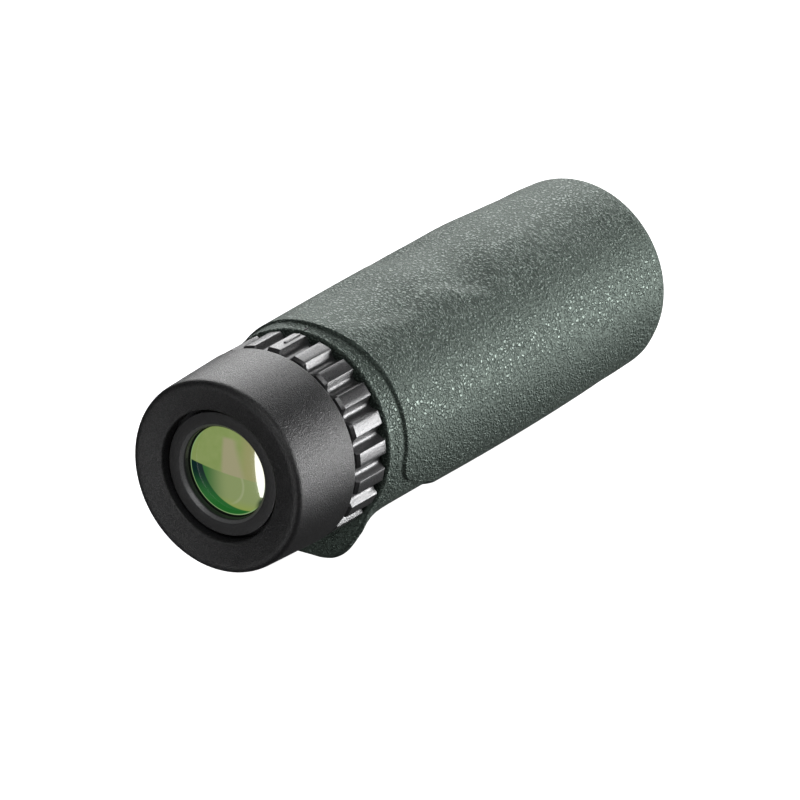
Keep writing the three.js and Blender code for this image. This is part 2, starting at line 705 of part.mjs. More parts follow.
place('glare_stop', glareStop(), BLACK_METAL);
place('objective_cell', objectiveCell(), BLACK_METAL);
place('objective_rear_lens', objectiveRearLens(), GLASS);
place('objective_front_lens', objectiveFrontLens(), GLASS);
place('objective_retaining_ring', objectiveRetainingRing(), BLACK_METAL);
place('objective_seal_ring', sealRing(14.95, 0.4, 110.5), SEAL_RUBBER);
place('objective_bezel', objectiveBezel(), BLACK_METAL);

export default monocular;
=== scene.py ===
"""Looks of a pocket monocular: grained rubber armour, toothed focus ring, rubber eyecup and coated eye lens.

Lengths are in millimetres and are turned into metres as the meshes are made. Stations run along the optical
axis from the eyecup's rim, and angles run round the axis from +Z towards +X.
"""

import json
import math

import bmesh
import bpy
import numpy as np
from mathutils import Matrix, Vector


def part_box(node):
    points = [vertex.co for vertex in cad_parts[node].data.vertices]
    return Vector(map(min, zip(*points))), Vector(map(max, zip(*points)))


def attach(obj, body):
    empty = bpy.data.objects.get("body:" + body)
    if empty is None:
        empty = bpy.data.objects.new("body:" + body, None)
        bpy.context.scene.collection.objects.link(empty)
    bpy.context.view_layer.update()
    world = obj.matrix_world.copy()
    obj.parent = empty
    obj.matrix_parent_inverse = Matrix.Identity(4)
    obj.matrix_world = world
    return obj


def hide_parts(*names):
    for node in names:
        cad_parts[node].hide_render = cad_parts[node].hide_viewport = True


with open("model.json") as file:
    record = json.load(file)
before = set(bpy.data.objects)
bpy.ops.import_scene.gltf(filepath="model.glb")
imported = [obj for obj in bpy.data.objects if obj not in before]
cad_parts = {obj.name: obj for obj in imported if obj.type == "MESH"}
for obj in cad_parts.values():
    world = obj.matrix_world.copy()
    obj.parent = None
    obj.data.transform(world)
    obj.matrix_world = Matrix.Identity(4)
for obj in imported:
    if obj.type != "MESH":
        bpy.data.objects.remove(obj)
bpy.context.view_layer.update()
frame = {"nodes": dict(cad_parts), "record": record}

MM = 0.001
MERGE_DISTANCE = 1e-7          # metres: points closer than this become one
SHORTEST_EDGE = 1e-8
TURNED_STEPS = 192
LENS_STEPS = 128
EYE_RIM_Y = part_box("eyecup_rubber")[0].y
AXIS_HEIGHT = 24.0

# ------------------------------------------------------------------ camera

CAMERA_AZIMUTH = 34.64         # degrees from +Y, round to the right of the eye end
CAMERA_ELEVATION = 22.96
CAMERA_LENS = 621.9            # a long lens, as the view is almost parallel
CAMERA_DEPTH = 2396.6          # along the view, to the axis point one millimetre inside the rim
CAMERA_SIDE = -31.47           # where that point lies across and up the frame
CAMERA_RISE = -13.22
FILM_WIDTH = 36                # millimetres


def make_camera():
    azimuth, elevation = math.radians(CAMERA_AZIMUTH), math.radians(CAMERA_ELEVATION)
    sin_a, cos_a = math.sin(azimuth), math.cos(azimuth)
    sin_e, cos_e = math.sin(elevation), math.cos(elevation)
    right = Vector((cos_a, sin_a, 0))
    forward = Vector((-sin_a * cos_e, cos_a * cos_e, -sin_e))
    up = Vector((-sin_a * sin_e, cos_a * sin_e, cos_e))
    target = Vector((0, EYE_RIM_Y + MM, AXIS_HEIGHT * MM))
    offset = CAMERA_SIDE * right + CAMERA_RISE * up + CAMERA_DEPTH * forward
    data = bpy.data.cameras.new("camera")
    data.sensor_width = FILM_WIDTH
    data.lens = CAMERA_LENS
    data.clip_start, data.clip_end = 0.1, 20
    camera = bpy.data.objects.new("camera", data)
    camera.matrix_world = Matrix.Translation(target - offset * MM) @ Matrix(
        [
            (right.x, up.x, -forward.x, 0),
            (right.y, up.y, -forward.y, 0),
            (right.z, up.z, -forward.z, 0),
            (0, 0, 0, 1),
        ]
    )
    bpy.context.scene.collection.objects.link(camera)
    bpy.context.scene.camera = camera


# ------------------------------------------------------------------ meshes


def polar(radius, angle, station):
    """Arrays of radius (mm), angle (degrees) and station (mm) as points in metres."""
    a = np.radians(angle)
    x = radius * np.sin(a) * MM
    y = EYE_RIM_Y + station * MM + 0 * x
    z = (AXIS_HEIGHT + radius * np.cos(a)) * MM
    return np.stack([x, y, z], axis=-1)


def grid_piece(name, points, body, material, replaces=(), sharp=35):
    """A piece from rows of points that go round the axis, with the last row joined to the first."""
    rows, cols = points.shape[:2]
    index = np.arange(rows * cols).reshape(rows, cols)
    below = np.roll(index, -1, axis=0)
    faces = np.stack([index, np.roll(index, -1, 1), np.roll(below, -1, 1), below], axis=-1).reshape(-1, 4)
    mesh = bpy.data.meshes.new(name)
    mesh.from_pydata(points.reshape(-1, 3).tolist(), [], faces.tolist())
    return finish_piece(name, mesh, body, material, replaces, sharp)


def finish_piece(name, mesh, body, material, replaces=(), sharp=35):
    """Cleans a mesh, smooths its edges below the sharp angle (degrees) and makes it a piece on its body."""
    shaped = bmesh.new()
    shaped.from_mesh(mesh)
    bmesh.ops.remove_doubles(shaped, verts=shaped.verts, dist=MERGE_DISTANCE)
    bmesh.ops.dissolve_degenerate(shaped, edges=shaped.edges, dist=SHORTEST_EDGE)
    bmesh.ops.recalc_face_normals(shaped, faces=shaped.faces)
    shaped.to_mesh(mesh)
    shaped.free()
    mesh.shade_smooth()
    mesh.set_sharp_from_angle(angle=math.radians(sharp))
    mesh.materials.append(material)
    piece = bpy.data.objects.new(name, mesh)
    bpy.context.scene.collection.objects.link(piece)
    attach(piece, body)
    if replaces:
        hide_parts(*replaces)
    return piece


def rounded(corners, steps=5):
    """A closed profile through (radius, station, fillet) corners, each rounded by its fillet."""
    path = []
    count = len(corners)
    for i, (radius, station, fillet) in enumerate(corners):
        corner = np.array([radius, station], float)
        before = np.array(corners[i - 1][:2], float)
        after = np.array(corners[(i + 1) % count][:2], float)
        if fillet <= 0:
            path.append(corner)
            continue
        to_before = (before - corner) / np.linalg.norm(before - corner)
        to_after = (after - corner) / np.linalg.norm(after - corner)
        start, end = corner + to_before * fillet, corner + to_after * fillet
        for k in range(steps + 1):
            t = k / steps
            path.append((1 - t) ** 2 * start + 2 * t * (1 - t) * corner + t**2 * end)
    return np.array(path)


def turned_points(profile, steps):
    """Rows of points: each (radius, station) of the profile, turned round the axis in even steps."""
    radius, station = profile[:, :1], profile[:, 1:]
    angles = np.arange(steps) * 360 / steps
    return polar(radius + 0 * angles, angles + 0 * radius, station + 0 * angles)


def turned_piece(name, corners, body, material, node, fillet_steps=5):
    points = turned_points(rounded(corners, fillet_steps), TURNED_STEPS)
    return grid_piece(name, points, body, material, [node])


def smoothstep(x, low, high):
    t = np.clip((x - low) / (high - low), 0, 1)
    return t * t * (3 - 2 * t)


CAP_BEVEL = (8.5, 9.15)        # inner and outer radius of the eyepiece ring's bevel

# ------------------------------------------------------------------ shader building


class Shader:
    """A material's node tree with one Principled surface, and short calls for the nodes it uses."""

    def __init__(self, name, **values):
        self.material = bpy.data.materials.new(name)
        self.material.use_nodes = True
        self.tree = self.material.node_tree
        self.surface = self.tree.nodes["Principled BSDF"]
        for socket, value in values.items():
            self.surface.inputs[socket.replace("_", " ")].default_value = value
        self.place = self.node("ShaderNodeTexCoord").outputs["Object"]

    def node(self, kind, **settings):
        made = self.tree.nodes.new(kind)
        for key, value in settings.items():
            setattr(made, key, value)
        return made

    def link(self, source, target):
        self.tree.links.new(source, target)

    def fill(self, made, **inputs):
        for key, value in inputs.items():
            socket = made.inputs[key.replace("_", " ")]
            if isinstance(value, bpy.types.NodeSocket):
                self.link(value, socket)
            else:
                socket.default_value = value
        return made

    def noise(self, scale, detail=2.0, roughness=0.5, colour=False):
        made = self.node("ShaderNodeTexNoise")
        self.fill(made, Vector=self.place, Scale=scale, Detail=detail, Roughness=roughness)
        return made.outputs["Color" if colour else "Fac"]

    def cells(self, scale, place):
        """How far the place is from the nearest wall between irregular cells."""
        made = self.node("ShaderNodeTexVoronoi", feature="DISTANCE_TO_EDGE")
        self.fill(made, Vector=place, Scale=scale)
        return made.outputs["Distance"]

    def warped(self, scale, amount):
        """The place, pushed about by a noise, so that a regular pattern turns irregular."""
        push = self.node("ShaderNodeVectorMath", operation="SCALE")
        centred = self.node("ShaderNodeVectorMath", operation="SUBTRACT")
        self.link(self.noise(scale, colour=True), centred.inputs[0])
        centred.inputs[1].default_value = (0.5, 0.5, 0.5)
        self.link(centred.outputs[0], push.inputs[0])
        push.inputs["Scale"].default_value = amount
        moved = self.node("ShaderNodeVectorMath", operation="ADD")
        self.link(self.place, moved.inputs[0])
        self.link(push.outputs[0], moved.inputs[1])
        return moved.outputs[0]

    def remap(self, value, low, high, to_low=0.0, to_high=1.0):
        """A smooth step from to_low to to_high as the value goes from low to high."""
        made = self.node("ShaderNodeMapRange", interpolation_type="SMOOTHSTEP")
        self.fill(made, Value=value, From_Min=low, From_Max=high, To_Min=to_low, To_Max=to_high)
        return made.outputs["Result"]

    def sum(self, first, second, share):
        """first plus share times second."""
        made = self.node("ShaderNodeMath", operation="MULTIPLY_ADD")
        self.link(second, made.inputs[0])
        made.inputs[1].default_value = share
        self.link(first, made.inputs[2])
        return made.outputs[0]

    def both(self, first, second):
        """The product, which is high only where both are."""
        made = self.node("ShaderNodeMath", operation="MULTIPLY")
        self.link(first, made.inputs[0])
        self.link(second, made.inputs[1])
        return made.outputs[0]

    def across(self):
        """The place in millimetres across the optical axis: x, zero and height from the axis."""
        scaled = self.node("ShaderNodeVectorMath", operation="MULTIPLY_ADD")
        self.link(self.place, scaled.inputs[0])
        scaled.inputs[1].default_value = (1 / MM, 0, 1 / MM)
        scaled.inputs[2].default_value = (0, 0, -AXIS_HEIGHT)
        return scaled.outputs[0]

    def distance(self, place, x, z):
        made = self.node("ShaderNodeVectorMath", operation="DISTANCE")
        self.link(place, made.inputs[0])
        made.inputs[1].default_value = (x, 0, z)
        return made.outputs["Value"]

    def slope(self, place, x, z, offset):
        """How far the place lies along a direction: x and z are the direction's parts."""
        made = self.node("ShaderNodeVectorMath", operation="DOT_PRODUCT")
        self.link(place, made.inputs[0])
        made.inputs[1].default_value = (x, 0, z)
        shifted = self.node("ShaderNodeMath", operation="ADD")
        self.link(made.outputs["Value"], shifted.inputs[0])
        shifted.inputs[1].default_value = offset
        return shifted.outputs[0]

    def mix(self, factor, first, second):
        made = self.node("ShaderNodeMix", data_type="RGBA")
        colours = [socket for socket in made.inputs if socket.type == "RGBA"]
        for socket, value in ((made.inputs[0], factor), (colours[0], first), (colours[1], second)):
            if isinstance(value, bpy.types.NodeSocket):
                self.link(value, socket)
            else:
                socket.default_value = value
        return next(socket for socket in made.outputs if socket.type == "RGBA")

    def bump(self, height, distance, strength=1.0):
        made = self.node("ShaderNodeBump")
        self.fill(made, Height=height, Distance=distance, Strength=strength)
        self.link(made.outputs["Normal"], self.surface.inputs["Normal"])

    def set(self, **inputs):
        self.fill(self.surface, **inputs)


def rgb(red, green, blue):
    return (red, green, blue, 1.0)


# ------------------------------------------------------------------ materials


def armour_material():
    """Moulded leather-grain rubber: winding pebbles, with painted shade darkening the creases between them.
    """
    green_gloss = rgb(0.79, 1.0, 0.87)
    s = Shader("armour_rubber_grain", IOR=1.6, Specular_IOR_Level=1.0, Specular_Tint=green_gloss)
    worms = s.remap(s.noise(1500, 1.0, 0.5), 0.32, 0.54)
    pebbles = s.remap(s.cells(1350, s.warped(1300, 0.0008)), 0.01, 0.26)
    broad = s.noise(70, 3, 0.55)
    fine = s.noise(6500, 2, 0.6)
    height = s.sum(s.both(worms, pebbles), fine, 0.15)
    base = s.mix(broad, rgb(0.030, 0.040, 0.034), rgb(0.036, 0.047, 0.040))
    # painted shade: the base colour is darkened in the creases between the pebbles
    crease_shaded = s.mix(s.remap(height, 0.05, 0.65), rgb(0.003, 0.005, 0.004), base)
    s.set(Base_Color=crease_shaded, Roughness=s.remap(height, 0.1, 0.9, 0.62, 0.39))
    s.bump(height, 0.00018, 1.0)
    return s.material


def eyecup_material():
    """Fine-grained soft black rubber."""
    s = Shader("eyecup_rubber_fine", Specular_IOR_Level=0.54)
    grain = s.noise(4000, 2.5, 0.7)
    broad = s.noise(120, 3)
    base = s.mix(broad, rgb(0.022, 0.022, 0.023), rgb(0.031, 0.031, 0.032))
    speckled = s.mix(s.remap(grain, 0.38, 0.62), rgb(0.006, 0.006, 0.007), base)
    s.set(Base_Color=speckled, Roughness=s.remap(grain, 0.3, 0.7, 0.46, 0.28))
    s.bump(grain, 0.00015, 0.8)
    return s.material


def ring_material():
    """Charcoal paint with a metallic sheen, a little grainy."""
    s = Shader("focus_ring_paint", Specular_IOR_Level=1.0, Metallic=0.55)
    grain = s.noise(3600, 3, 0.7)
    broad = s.noise(160, 2)
    base = s.mix(broad, rgb(0.105, 0.105, 0.107), rgb(0.135, 0.135, 0.137))
    speckled = s.mix(s.remap(grain, 0.35, 0.65), rgb(0.050, 0.050, 0.052), base)
    s.set(Base_Color=speckled, Roughness=s.remap(grain, 0.3, 0.7, 0.40, 0.24))
    s.bump(grain, 0.00006, 0.8)
    return s.material


def dark_metal_material(name, roughness=0.42):
    """Black anodised metal."""
    s = Shader(name, Metallic=0.5)
    grain = s.noise(5000, 3, 0.6)
    base = s.mix(s.noise(200, 2), rgb(0.010, 0.010, 0.011), rgb(0.016, 0.016, 0.017))
    s.set(Base_Color=base, Roughness=s.remap(grain, 0.3, 0.7, roughness + 0.08, roughness - 0.04))
    s.bump(grain, 0.00002, 0.4)
    return s.material


def eyepiece_bezel_material():
    """Black satin metal whose inner bevel is painted lighter as a highlight."""
    s = Shader("eyepiece_bezel_paint", Metallic=0.2)
    grain = s.noise(4200, 3, 0.6)
    radius = s.distance(s.across(), 0, 0)
    inner, outer = CAP_BEVEL
    starts = s.remap(radius, inner + 0.05, inner + 0.25)
    ends = s.remap(radius, outer - 0.1, outer + 0.1, 1, 0)
    bevel = s.both(starts, ends)
    base = s.mix(s.noise(200, 2), rgb(0.022, 0.022, 0.023), rgb(0.030, 0.030, 0.031))
    # painted highlight: the inner bevel is made lighter all the way round, broken up a little by the grain
    bevel_highlight = s.mix(s.both(bevel, s.remap(grain, 0.3, 0.5, 0.6, 1)), base, rgb(0.15, 0.15, 0.155))
    s.set(Base_Color=bevel_highlight, Roughness=s.remap(grain, 0.3, 0.7, 0.46, 0.28))
    s.bump(grain, 0.00008, 0.6)
    return s.material


def machined_material(name, tone, roughness):
    """Bare metal with fine turning marks round the optical axis."""
    s = Shader(name, Metallic=1.0)
    marks = s.node("ShaderNodeTexWave", wave_type="BANDS", bands_direction="Y")
    s.fill(marks, Vector=s.place, Scale=900, Distortion=1.5, Detail=2)
    grain = s.noise(900, 3)
    base = s.mix(grain, rgb(tone * 0.9, tone * 0.9, tone * 0.92), rgb(tone, tone, tone * 1.02))
    s.set(Base_Color=base, Roughness=s.remap(marks.outputs["Fac"], 0, 1, roughness + 0.08, roughness - 0.05))
    s.bump(marks.outputs["Fac"], 0.00002, 0.3)
    return s.material


def plastic_material():
    """Black moulded plastic with a fine matt grain."""
    s = Shader("moulded_black_plastic")
    grain = s.noise(3800, 2)
    base = s.mix(s.noise(150, 2), rgb(0.014, 0.014, 0.015), rgb(0.02, 0.02, 0.021))
    s.set(Base_Color=base, Roughness=s.remap(grain, 0.3, 0.7, 0.6, 0.45))
    s.bump(grain, 0.00003, 0.4)
    return s.material


def seal_material():
    """Smooth black rubber of the O-rings."""
    s = Shader("seal_rubber")
    grain = s.noise(2600, 2)
    base = s.mix(grain, rgb(0.008, 0.008, 0.008), rgb(0.014, 0.014, 0.014))
    s.set(Base_Color=base, Roughness=s.remap(grain, 0.3, 0.7, 0.7, 0.5))
    return s.material


def glass_material(name, tint, coat):
    """Polished glass under a coloured anti-reflection coating."""
    s = Shader(name, Transmission_Weight=1.0, IOR=1.52, Coat_Weight=1.0, Coat_IOR=1.9, Coat_Roughness=0.02)
    s.set(Coat_Tint=coat)
    haze = s.noise(60, 2)
    base = s.mix(haze, tint, rgb(tint[0] * 0.94, tint[1] * 0.97, tint[2] * 0.94))
    s.set(Base_Color=base, Roughness=s.remap(haze, 0.2, 0.8, 0.0, 0.02))
    return s.material


def eye_lens_material():
    """The green-coated eye lens, with the prisms, the tube's far end and the bright field painted on it as a
    glow.
    """
    s = Shader("eye_lens_coat_and_painted_glow", Roughness=0.12, Coat_Weight=1.0, Coat_Roughness=0.02, Coat_IOR=2.1)
    # Everything drawn below is a painted view that glows by emission; no light passes through the lens.
    place = s.across()
    x, z = s.slope(place, 1, 0, 0), s.slope(place, 0, 1, 0)
    cloud = s.noise(420, 2, 0.5)

    # above the roof prism's edge: yellow-green, with a beige prism face in the middle
    field = s.mix(cloud, rgb(0.29, 0.35, 0.13), rgb(0.19, 0.28, 0.07))
    face = s.both(s.remap(x, -1.5, -0.4), s.remap(s.slope(place, 1, 0.32, 0), 2.6, 4.4, 1, 0))
    olive = s.mix(s.remap(x, 1.6, 4.5), field, rgb(0.31, 0.31, 0.13))
    upper = s.mix(s.both(face, s.remap(z, 6.6, 5.8)), olive, rgb(0.35, 0.33, 0.19))

    # below it: green on the left, turning olive grey to the right
    lower = s.mix(s.remap(x, -5.2, 0.6), rgb(0.036, 0.14, 0.03), rgb(0.25, 0.31, 0.125))
    lower = s.mix(s.remap(z, -4.5, -7.2), lower, rgb(0.27, 0.34, 0.075))
    # painted ghost reflection: a light ring, stronger towards the right
    ghost = s.distance(place, -0.8, -2.0)
    ghost_reflection_ring = s.both(s.remap(ghost, 3.9, 4.3), s.remap(ghost, 4.35, 4.6, 1, 0))
    lower = s.mix(s.both(ghost_reflection_ring, s.remap(x, 0, 2.4, 0, 0.55)), lower, rgb(0.38, 0.42, 0.24))
    edge = s.slope(place, 0.06, 1, 0.32)
    view = s.mix(s.remap(edge, -0.12, 0.12), lower, upper)

    # outside the tube's far end: dark green, nearly black at its upper tip
    wall = s.mix(s.remap(z, -1.0, -6.5), rgb(0.003, 0.018, 0.017), rgb(0.014, 0.13, 0.02))
    outside = s.remap(s.distance(place, 3.2, 2.0), 8.62, 8.9)
    view = s.mix(s.both(outside, s.remap(edge, 0.08, -0.08)), view, wall)

    radius = s.distance(place, 0, 0)

    # the ground rim of the glass: a painted highlight, light green at the lower left, and a painted shadow,
    # dark at the lower right
    rim = s.remap(radius, 8.0, 8.1)
    view = s.mix(s.both(rim, s.remap(s.slope(place, 1, 1, 0), 1.5, -1.5)), view, rgb(0.26, 0.42, 0.18))
    shadow = s.both(s.remap(radius, 7.2, 8.0), s.both(s.remap(x, 5.2, 6.8), s.remap(z, -2.8, -4.4)))
    view = s.mix(shadow, view, rgb(0.008, 0.03, 0.01))
    view = s.mix(s.remap(radius, 8.18, 8.28), view, rgb(0.003, 0.004, 0.003))
    # the painted view is the emission, so the lens glows whatever the lamps do
    s.set(Base_Color=s.mix(0.9, view, rgb(0, 0, 0)), Emission_Color=view, Emission_Strength=0.97)
    return s.material


# ------------------------------------------------------------------ armour

LENGTH = 115.0
BODY_RADIUS = 19.0
INNER_RADIUS = 17.6            # the skin's inside
COLLAR_START = 26.4
COLLAR_RADIUS = 18.5
COLLAR_RISE = 0.27             # the collar swells by this much between two stations
COLLAR_RISE_STATIONS = (27.3, 29.6)
LIP_RADIUS = 16.2              # the bore of the front lip
LIP_DEPTH = 0.9
PANEL_RISE = (-0.12, 0.4)      # the raised panel's edge, along the axis from the step line
STEP_LINE = [                  # (angle from the top, station) of that edge
    (0, 28.8), (12, 29.1), (31, 29.9), (50, 30.4), (90, 30.7), (105, 31.0), (113, 32.8), (121, 37.7),
    (132, 44.5), (143, 49.5), (160, 52.5), (180, 53.2),
]
BARREL_TAPER = [               # (station, radius) of the panel
    (0, BODY_RADIUS), (93, BODY_RADIUS), (97, 18.85), (101.7, 18.6), (108, 18.4),
    (111.5, 18.15), (115, 17.9),
]
TROUGH_EDGE = [                # (station, angle from the top) where the finger hollows end
    (30, 20), (38, 27), (46, 33), (55.5, 26), (66, 41), (76, 23), (86, 20), (95, 14), (103, 10),
]
TROUGH_DEPTH = [               # (station, depth) of the hollows
    (30, 0), (38, 0.45), (47, 0.6), (57, 0.4), (66, 0.75), (77, 0.35), (86, 0.35), (94, 0.2), (102, 0),
]
TROUGH_WALL = 13               # degrees from a hollow's edge down to its floor
SWELL_HEIGHT, SWELL_STATION, SWELL_LENGTH = 0.22, 85, 7
SWELL_FADE = (40, 85)          # degrees from the top between which the swell fades out
LUG_START = 118                # degrees from the top
LUG_ROOT_RADIUS = 18.2
LUG_OUTLINE = [                # (angle from the top, radius) of the lug's side
    (LUG_START, 17.6), (128, 18.3), (134, 19.0), (140, 20.4), (146.6, 22.4), (153.7, 23.25), (160.2, 23.9),
]
FOOT_ANGLE = 168.3             # where the side meets the flat foot
FOOT_LENGTH = 3
LUG_FADE = 3.8
BODY_END = 111.5               # where the far rim starts to round over
RIM_INSET = 1.9
FAR_END = [                    # (radius, station) over the rim, into the recess and back along the inside
    (15.4, LENGTH), (14.75, 114.95), (14.45, 114.7), (14.4, 114.3), (14.4, 112.9),
    (17.0, 112.9), (17.0, 101.0), (INNER_RADIUS, 98.0), (INNER_RADIUS, 60.0),
]
SLOT_HALF_WIDTH = 5.5          # the lug's strap slot, below the axis from top to bottom
SLOT_TOP, SLOT_BOTTOM = 19.1, 20.8
ARMOUR_SHARP = 50


def curve_through(pairs, x):
    """A smooth curve through (x, value) pairs."""
    xs, values = np.array(pairs, float).T
    slopes = np.gradient(values, xs)
    x = np.clip(x, xs[0], xs[-1])
    i = np.clip(np.searchsorted(xs, x, side="right") - 1, 0, len(xs) - 2)
    span = xs[i + 1] - xs[i]
    t = (x - xs[i]) / span
    return (
        (2 * t**3 - 3 * t**2 + 1) * values[i]
        + (t**3 - 2 * t**2 + t) * span * slopes[i]
        + (3 * t**2 - 2 * t**3) * values[i + 1]
        + (t**3 - t**2) * span * slopes[i + 1]
    )


def sharp_lug_outline(angle):
    """The lug's front outline: its side, then the flat foot."""
    corner_radius = AXIS_HEIGHT / -math.cos(math.radians(FOOT_ANGLE))
    side = curve_through([*LUG_OUTLINE, (FOOT_ANGLE, corner_radius)], angle)
    foot = AXIS_HEIGHT / np.maximum(-np.cos(np.radians(angle)), 0.5)
    return np.where(angle >= FOOT_ANGLE, foot, side)


def lug_outline(angle):
    """The same outline with its corners rounded, by averaging over a few degrees to each side."""
    spread = 5 * (1 - smoothstep(angle, 172, 178))
    offsets = np.linspace(-1, 1, 9)
    near = [sharp_lug_outline(180 - np.abs(180 - (angle + spread * offset))) for offset in offsets]
    return np.minimum(np.mean(near, axis=0), sharp_lug_outline(angle) + 0.1)


def lug_radius(angle, station):
    """The lug's radius: full over the foot's length, then fading into the barrel."""
    flat_length = FOOT_LENGTH * smoothstep(angle, 146, FOOT_ANGLE)
    behind = station - COLLAR_START - flat_length
    eased = 0.5 * (behind + np.sqrt(behind**2 + 1.5**2)) - 0.25
    fade = np.exp(-np.maximum(0, eased) / LUG_FADE)
    return LUG_ROOT_RADIUS + (lug_outline(angle) - LUG_ROOT_RADIUS) * fade


def soft_max(a, b, width):
    """The larger of two values, blended over a width where they cross."""
    return 0.5 * (a + b + np.sqrt((a - b) ** 2 + width**2))


def armour_radius(angle, station, past_step):
    """Outer radius in millimetres. past_step is the distance behind the raised panel's edge."""
    turn = np.abs((angle + 180) % 360 - 180)
    collar = COLLAR_RADIUS + COLLAR_RISE * smoothstep(station, *COLLAR_RISE_STATIONS)
    panel = curve_through(BARREL_TAPER, station)
    wall = smoothstep(curve_through(TROUGH_EDGE, station) - turn, 0, TROUGH_WALL)
    panel = panel - curve_through(TROUGH_DEPTH, station) * wall
    swell = SWELL_HEIGHT * np.exp(-(((station - SWELL_STATION) / SWELL_LENGTH) ** 2))
    panel = panel + swell * (1 - smoothstep(turn, *SWELL_FADE))
    radius = collar + (panel - collar) * smoothstep(past_step, *PANEL_RISE)
    blend = 0.35 * smoothstep(turn, LUG_START, LUG_START + 12)
    with_lug = soft_max(radius, lug_radius(turn, station), blend)
    return np.where(turn > LUG_START, with_lug, radius)


def armour_points():
    """Rows of points: from the front lip, over the front face, along the outside and back inside."""
    lug_end = 360 - LUG_START
    right_side = np.arange(0, LUG_START, 1.0)
    lug = np.arange(LUG_START, lug_end, 0.75)
    left_side = np.arange(lug_end, 360, 1.0)
    angles = np.concatenate([right_side, lug, left_side])
    turn = np.abs((angles + 180) % 360 - 180)
    step = curve_through(STEP_LINE, turn)
    edge = 0.45 + 0.75 * smoothstep(turn, 128, 150)
    rows = []

    def add(radius, station):
        rows.append(polar(radius + 0 * angles, angles, station + 0 * angles))

    add(INNER_RADIUS, COLLAR_START + LIP_DEPTH)
    add(LIP_RADIUS, COLLAR_START + LIP_DEPTH)
    add(LIP_RADIUS, COLLAR_START + 0.12)
    add(LIP_RADIUS + 0.12, COLLAR_START)
    edge_rows = 6
    for k in range(edge_rows + 1):
        a = k / edge_rows * math.pi / 2
        station = COLLAR_START + edge * (1 - math.cos(a))
        outer = armour_radius(angles, COLLAR_START + edge, COLLAR_START + edge - step)
        add(outer - edge * (1 - math.sin(a)), station)
    before_step, after_step = -0.25, 0.6
    collar_rows = 14
    for k in range(1, collar_rows):
        t = k / collar_rows
        station = (COLLAR_START + edge) * (1 - t) + (step + before_step) * t
        add(armour_radius(angles, station, station - step), station)
    for offset in (before_step, -0.15, -0.05, 0.05, 0.15, 0.25, 0.35, 0.45, after_step):
        add(armour_radius(angles, step + offset, offset + 0 * angles), step + offset)
    body_rows = 150
    for k in range(1, body_rows + 1):
        t = k / body_rows
        station = (step + after_step) * (1 - t) + BODY_END * t
        add(armour_radius(angles, station, station - step), station)
    end_radius = armour_radius(angles, BODY_END + 0 * angles, BODY_END - step)
    rim_rows = 10
    for k in range(1, rim_rows + 1):
        a = k / rim_rows * math.pi / 2
        add(end_radius - RIM_INSET * (1 - math.cos(a)), BODY_END + (LENGTH - BODY_END) * math.sin(a))
    for radius, station in FAR_END:
        add(radius, station)
    return np.array(rows)


def make_armour(grain):
    points = armour_points()
    return grid_piece("armour_skin", points, "body", grain, ["armour"], sharp=ARMOUR_SHARP)


def cut_through(piece, near, far, sharp):
    """Cuts a straight hole whose two ends are the outlines near and far, of the same number of points."""
    count = len(near)
    faces = [tuple(range(count)), tuple(range(2 * count - 1, count - 1, -1))]
    faces += [(i, i + count, (i + 1) % count + count, (i + 1) % count) for i in range(count)]
    cutter_mesh = bpy.data.meshes.new("cutter")
    cutter_mesh.from_pydata([tuple(point) for point in list(near) + list(far)], [], faces)
    cutter = bpy.data.objects.new("cutter", cutter_mesh)
    bpy.context.scene.collection.objects.link(cutter)
    cut = piece.modifiers.new("hole", "BOOLEAN")
    cut.object = cutter
    cut.solver = "EXACT"
    depsgraph = bpy.context.evaluated_depsgraph_get()
    made = bpy.data.meshes.new_from_object(piece.evaluated_get(depsgraph))
    piece.modifiers.remove(cut)
    piece.data = made
    made.set_sharp_from_angle(angle=math.radians(sharp))
    bpy.data.objects.remove(cutter)


def cut_strap_slot(armour):
    """The lanyard's slot runs through the lug, just under the barrel. Its ends are half circles."""
    radius = (SLOT_BOTTOM - SLOT_TOP) / 2
    outline = []
    for side in (1, -1):
        for k in range(9):
            a = math.pi / 2 - k / 8 * math.pi
            x = side * (SLOT_HALF_WIDTH - radius + radius * math.cos(a))
            outline.append((x, side * radius * math.sin(a) - (SLOT_TOP + SLOT_BOTTOM) / 2))

    def ring_at(station):
        return [(x * MM, EYE_RIM_Y + station * MM, (AXIS_HEIGHT + z) * MM) for x, z in outline]

    cut_through(armour, ring_at(COLLAR_START - 2), ring_at(COLLAR_START + 16), ARMOUR_SHARP)


# ------------------------------------------------------------------ focus ring

RING_TEETH = 21
RING_START, RING_END = 17.6, 25.9
RING_OUTER, RING_INNER = 18.2, 15.9
RING_CHAMFER = 0.42
RING_SHARP = 28
LAND_END, FLANK_END = 0.225, 0.325     # shares of the pitch, from a tooth's middle
FLANK_DEPTH, SCALLOP_DEPTH = 0.765, 1.30
SET_SCREW_TURNS = (180, -94.3)
SET_SCREW_STATION = 22
SET_SCREW_RADIUS = 0.95
SET_SCREW_SIDES = 24
INDEX_RIB = {"half_width": 0.3, "start": 20.9, "end": 25.6, "bottom": 17.8, "top": 18.42}
INDEX_MARK = {"half_width": 0.17, "start": 26.95, "end": 28.35, "bottom": 18.1, "top": 18.62}


